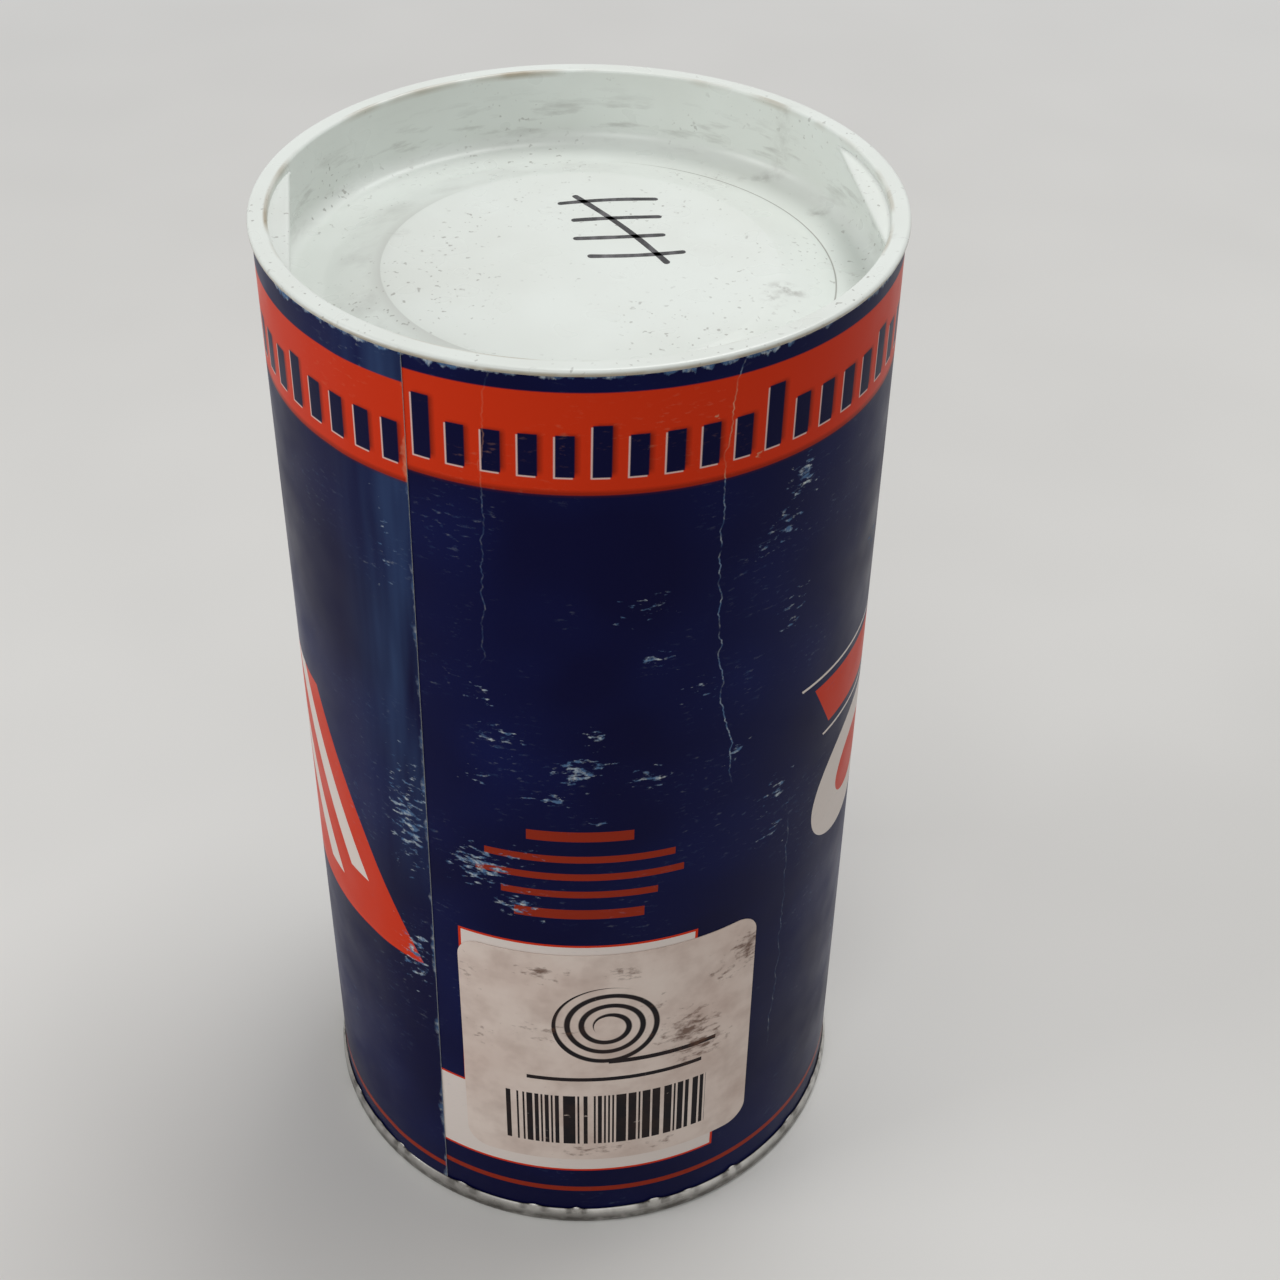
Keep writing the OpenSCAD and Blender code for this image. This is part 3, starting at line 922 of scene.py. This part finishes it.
end = {
    "plate": 0.3,
    "foot": 0.8,
    "footRound": 0.6,
    "seamHeight": 3.5,
    "fullest": 1.1,
    "shoulder": 2.55,
    "skirtInner": 45.72,
    "chuckR": 44.4,
    "ringR": 39.9,
    "panelDrop": 1.2,
    "crimps": 27,
    "crimpRise": (0.25, 0.7),
    "crimpWide": 1.15,
    "steps": 1080,
    "metal": "#dcdad6",
    "dull": "#8d8983",
    # Grey of the shade painted on the seam
    "darkening": "#514d49",
}
footR = endHigh[0]
ringTop = endHigh[2]


# Cold-rolled tinplate: bright, soft mirror with fine drawing lines round it, dull in patches, with shade
# painted on the seam's lower part, in the hollows along its upper edge and in the notches beside the peaks
def tinplate(tree):
    place = placeInMm(tree)
    film = marked(tree, (blotches(tree, place, 7.0, 0.42, 0.75), 0.8))
    # Painted shade on the seam's lower part, in the hollows between the peaks along its upper edge and in
    # the notches beside the peaks, patchy in the first two
    z = addNode(tree, "SeparateXYZ", {0: place}, 2)
    radius = fromOval(tree, place, 0, 0, 1, 1)
    relief = addNode(tree, "Attribute", out=2, attribute_name="crimpRelief")
    patchy = blotches(tree, place, 2.6, 0.05, 0.55, (1, 1, 2.0))
    low = addNode(tree, "MapRange", {0: z, 1: 2.7, 2: 1.3})
    onSeam = addNode(tree, "MapRange", {0: radius, 1: end["chuckR"], 2: end["skirtInner"]})
    hollow = addNode(tree, "MapRange", {0: relief, 1: 0.5, 2: 0.9, 3: 1.0, 4: 0.0})
    upper = addNode(tree, "MapRange", {0: z, 1: 3.15, 2: 3.4})
    notch = addNode(tree, "MapRange", {0: relief, 1: 0.5, 2: 0.0, 4: 0.62})
    shoulder = addNode(tree, "MapRange", {0: z, 1: 1.6, 2: 2.4})
    darkMarks = (low, onSeam, patchy, 0.85), (hollow, upper, patchy, 0.85), (notch, shoulder, 0.85)
    layers = (film, end["dull"]), (marked(tree, *darkMarks), end["darkening"])
    lines = blotches(tree, place, 2.5, 0.3, 0.7, (0.25, 0.25, 12))
    rough = addNode(tree, "MapRange", {0: lines, 3: 0.12, 4: 0.2})
    rough = addNode(tree, "Math", {0: film, 1: 0.25, 2: rough}, operation="MULTIPLY_ADD")
    bump = addNode(tree, "Bump", {"Height": lines, "Strength": 0.3, "Distance": 0.02 * mm})
    return {
        "Base Color": layered(tree, end["metal"], *layers),
        "Metallic": 1.0,
        "Roughness": rough,
        "Normal": bump,
    }


tinMaterial = newMaterial("rolledTinplate", tinplate)


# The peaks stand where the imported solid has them
def crimpList():
    low, high = end["crimpRise"]
    found = []
    for i in range(end["crimps"]):
        azimuth = 2 * math.pi * (i + 0.3 * math.sin(math.radians(i * 101))) / end["crimps"]
        rise = low + (high - low) * (0.5 + 0.5 * math.sin(math.radians(i * 137)))
        found.append((azimuth, rise, end["crimpWide"] * (0.7 + 0.6 * ((i * 5) % 7) / 7)))
    return found


crimps = crimpList()


# How far the seam's edge stands up in a peak, and how far it is pinched in beside one
def crimpAt(azimuth):
    peak = 0.0
    pinch = 0.0
    for at, rise, wide in crimps:
        apart = (azimuth - at + math.pi) % (2 * math.pi) - math.pi
        near = abs(apart * footR / wide)
        if near < 4:
            peak += rise * math.exp(-near * near)
            pinch += rise * math.exp(-((near - 1.5) / 0.75) ** 2)
    return peak, pinch


# The seam was rolled down: its upper edge is scalloped, with a pinched peak between the scallops
def crimped(r, z, azimuth):
    if r < end["skirtInner"] - 0.01 or z < 0.3:
        return r, z
    peak, pinch = crimpAt(azimuth)
    around = Vector((4 * math.sin(azimuth), 4 * math.cos(azimuth), 0.3))
    wave = noise.noise(around)
    share = min(1, max(0, (z - end["foot"]) / (end["seamHeight"] - end["foot"])))
    belly = math.sin(math.pi * min(1, share * 0.5 + 0.25)) * share
    inward = belly * max(0, 0.12 + 0.5 * pinch + 0.08 * wave - 0.25 * peak)
    return max(r - inward, end["skirtInner"]), z + share * (peak + 0.2 * wave - 0.12)


def endSection():
    plate, foot, footRound = end["plate"], end["foot"], end["footRound"]
    chuckIn = end["chuckR"] - plate
    panelTopZ = ringTop - end["panelDrop"]
    slopeIn = end["ringR"] - end["panelDrop"]
    section = [(0, panelTopZ - plate), (slopeIn - 1, panelTopZ - plate), (slopeIn, panelTopZ - plate)]
    section += [(end["ringR"], ringTop - plate), (chuckIn - 0.6, ringTop - plate)]
    section += arc(chuckIn - 0.4, ringTop - plate - 0.4, 0.4, 90, 0, 5)
    section += arc(chuckIn + footRound, footRound, footRound, 180, 270, 6)
    # A swollen bead: round at the foot, fullest at a third of its height, with a sloping shoulder
    swell = footR - end["skirtInner"] - 0.03
    full, shoulder, top = end["fullest"], end["shoulder"], end["seamHeight"]
    section += [(footR - swell - 0.3, 0)]
    for k in range(10):
        t = math.radians(90 * k / 9)
        section.append((footR - swell * (1 - math.sin(t)), full * (1 - math.cos(t))))
    for k in range(1, 6):
        section.append((footR - 0.05 * (k / 5) ** 2, full + (shoulder - full) * k / 5))
    for k in range(1, 19):
        t = math.sin(math.radians(90 * k / 18))
        drawnIn = 0.75 * t ** 1.25 + 0.25 * (1 - math.sqrt(1 - t * t))
        section.append((footR - 0.05 - (swell - 0.05) * drawnIn, shoulder + (top - shoulder) * t))
    section += [(end["skirtInner"], end["seamHeight"] - 0.1), (end["skirtInner"], foot)]
    section += [(end["chuckR"], foot), (end["chuckR"], ringTop - 0.5)]
    section += arc(end["chuckR"] - 0.4, ringTop - 0.4, 0.4, 0, 90, 5)
    section += [(end["ringR"], ringTop), (slopeIn, panelTopZ), (slopeIn - 1, panelTopZ), (0, panelTopZ)]
    return section


verts, faces = spun(endSection(), end["steps"], crimped)
endPiece = addPiece("seamedEnd", verts, faces, "can", "bottom_end", [tinMaterial], 40)
# Full on a peak, none in a notch, half between; it places the painted shade in the hollows and notches
crimpRelief = endPiece.data.attributes.new("crimpRelief", "FLOAT", "POINT")
stands = [crimpAt(math.atan2(x, -y)) for x, y, z in verts]
crimpRelief.data.foreach_set("value", [min(1, max(0, 0.5 + 1.2 * peak - 1.6 * pinch)) for peak, pinch in stands])
print("bottom end made")


# Coiled strip

coil = {
    "strip": 0.1,
    "turns": 4.57,
    "pitch": 0.5,
    "stepsPerTurn": 140,
    "levels": 6,
    "looseness": 0.1,
    "slip": 0.35,
    "startAngle": 60.0,
    "metal": "#d0d2d3",
    "oiled": "#a9a6a0",
}
coilOuter = rollHigh[0] - 0.05


# Bright cold-rolled stainless: mirror-like, with fine rolling lines along the strip
def rolledStainless(tree):
    place = placeInMm(tree)
    lines = blotches(tree, place, 3.0, 0.3, 0.7, (0.2, 0.2, 9))
    rough = addNode(tree, "MapRange", {0: lines, 3: 0.3, 4: 0.42})
    oil = marked(tree, (blotches(tree, place, 18.0, 0.4, 0.7), 0.35))
    bump = addNode(tree, "Bump", {"Height": lines, "Strength": 0.2, "Distance": 0.01 * mm})
    rolledAlong = addNode(tree, "Tangent", direction_type="RADIAL", axis="Z")
    return {
        "Base Color": layered(tree, coil["metal"], (oil, coil["oiled"])),
        "Metallic": 1.0,
        "Roughness": rough,
        "Anisotropic": 0.8,
        "Anisotropic Rotation": 0.25,
        "Tangent": rolledAlong,
        "Normal": bump,
    }


stripMaterial = newMaterial("rolledStainlessStrip", rolledStainless)


def coiledStrip():
    steps = int(coil["turns"] * coil["stepsPerTurn"])
    levels = coil["levels"]
    # The turns have slipped, so that the upper edge wanders by up to two slips
    tall = rollHigh[2] - rollLow[2] - 2 * coil["slip"]
    columns = []
    for i in range(steps + 1):
        turn = coil["turns"] * i / steps
        azimuth = math.radians(coil["startAngle"]) + 2 * math.pi * turn
        loose = coil["looseness"] * noise.noise(Vector((turn * 3.1, 0.4, 2.0)))
        r = coilOuter - coil["pitch"] * turn + loose * min(1, turn)
        slip = coil["slip"] * (1 + noise.noise(Vector((turn * 0.9, 5.0, 0.0))))
        heights = [rollLow[2] + 0.02 + (tall + slip) * j / levels for j in range(levels + 1)]
        columns.append([(r, r - coil["strip"], azimuth, z) for z in heights])
    return columns


verts, faces = bentSheet(coiledStrip())[:2]
addPiece("coiledStrip", verts, faces, "can", "shim_roll", [stripMaterial])
print("coil made")


# Paperboard tube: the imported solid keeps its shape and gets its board

board = {"kraft": "#9c7d59", "grey": "#8b8072", "joint": "#5f4b36", "ply": 62.0}


# Spiral-wound kraft board: matt, fibrous, with the joints of the winding running up it
def spiralBoard(tree):
    place = placeInMm(tree)
    fibres = blotches(tree, place, 2.4, 0.35, 0.7, (1, 1, 0.35))
    x, y, z = [addNode(tree, "SeparateXYZ", {0: place}, k) for k in range(3)]
    angle = addNode(tree, "Math", {0: y, 1: x}, operation="ARCTAN2")
    climb = addNode(tree, "Math", {0: z, 1: board["ply"]}, operation="DIVIDE")
    wound = addNode(tree, "Math", {0: angle, 1: 0.5 / math.pi, 2: climb}, operation="MULTIPLY_ADD")
    part = addNode(tree, "Math", {0: wound}, operation="FRACT")
    joint = strip(tree, part, 0.49, 0.5, 0.006)
    colour = layered(tree, board["kraft"], (fibres, board["grey"]), (joint, board["joint"]))
    bump = addNode(tree, "Bump", {"Height": fibres, "Strength": 0.4, "Distance": 0.03 * mm})
    return {"Base Color": colour, "Roughness": 0.86, "IOR": 1.4, "Normal": bump}


boardMaterial = newMaterial("spiralWoundBoard", spiralBoard)
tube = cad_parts["tube"]
tube.data.materials.clear()
tube.data.materials.append(boardMaterial)
print("tube dressed")


# Studio

studio = {
    "floor": "#dddcd9",
    "floorPale": "#e0dfdc",
    "floorSize": 6.0,
    "sweep": (250.0, 1100.0),
    "worldLight": 0.3,
    "backdrop": 0.8,
    # Lamps as name, place, aim, side and power, in metres and watts
    "lamps": [
        ("overheadSoftbox", (0.20, 0.26, 0.95), (0, 0, 0.10), 0.5, 4.7),
        ("leftSoftbox", (-0.85, -0.25, 0.5), (0, 0, 0.09), 0.4, 2.4),
        ("frontFill", (-0.25, -0.95, 0.75), (0, 0, 0.09), 0.5, 2.4),
    ],
}


# Full for what the eye sees, straight on, in a reflection or through glass
def seenByEye(tree):
    return marked(tree, *[(addNode(tree, "LightPath", out=k),) for k in (0, 3, 6)])


# Matt pale paper sweep: even, with the faintest mottling, which turns into the pale backdrop further off
def paperSweep(tree):
    place = placeInMm(tree)
    mottle = blotches(tree, place, 60.0, 0.3, 0.7, detail=1.0)
    black = (0, 0, 0, 1)
    far = addNode(tree, "VectorMath", {0: place}, 1, operation="LENGTH")
    near, beyond = studio["sweep"]
    far = addNode(tree, "MapRange", {0: far, 1: near, 2: beyond}, interpolation_type="SMOOTHSTEP")
    seen = marked(tree, (far, seenByEye(tree)))
    colour = layered(tree, studio["floor"], (mottle, studio["floorPale"]), (seen, black))
    glow = marked(tree, (seen, studio["backdrop"]))
    return {
        "Base Color": colour,
        "Roughness": 0.9,
        "Specular IOR Level": 0.0,
        "Emission Color": (1, 1, 1, 1),
        "Emission Strength": glow,
    }


half = studio["floorSize"] / 2
floorMesh = bpy.data.meshes.new("studioFloor")
floorCorners = [(-half, -half, 0), (half, -half, 0), (half, half, 0), (-half, half, 0)]
floorMesh.from_pydata(floorCorners, [], [(0, 1, 2, 3)])
sweepMaterial = newMaterial("paperSweep", paperSweep)
sweepMaterial.cycles.emission_sampling = "NONE"
floorMesh.materials.append(sweepMaterial)
floor = bpy.data.objects.new("studioFloor", floorMesh)
scene.collection.objects.link(floor)

for name, place, aim, size, power in studio["lamps"]:
    lamp = bpy.data.lights.new(name, "AREA")
    lamp.shape = "SQUARE"
    lamp.size = size
    lamp.energy = power
    lampObject = bpy.data.objects.new(name, lamp)
    lampObject.location = place
    lampObject.rotation_euler = (Vector(aim) - Vector(place)).to_track_quat("-Z", "Y").to_euler()
    scene.collection.objects.link(lampObject)

# The world lights at a plain level, and shows as a pale backdrop to the eye and in reflections
world = bpy.data.worlds.new("paleStudio")
world.use_nodes = True
worldTree = world.node_tree
worldTree.nodes.clear()
levels = studio["worldLight"], studio["backdrop"]
strength = addNode(worldTree, "MapRange", {0: seenByEye(worldTree), 3: levels[0], 4: levels[1]})
sky = addNode(worldTree, "Background", {"Color": (1, 1, 1, 1), "Strength": strength})
addNode(worldTree, "OutputWorld", {"Surface": sky})
scene.world = world
print("studio set")
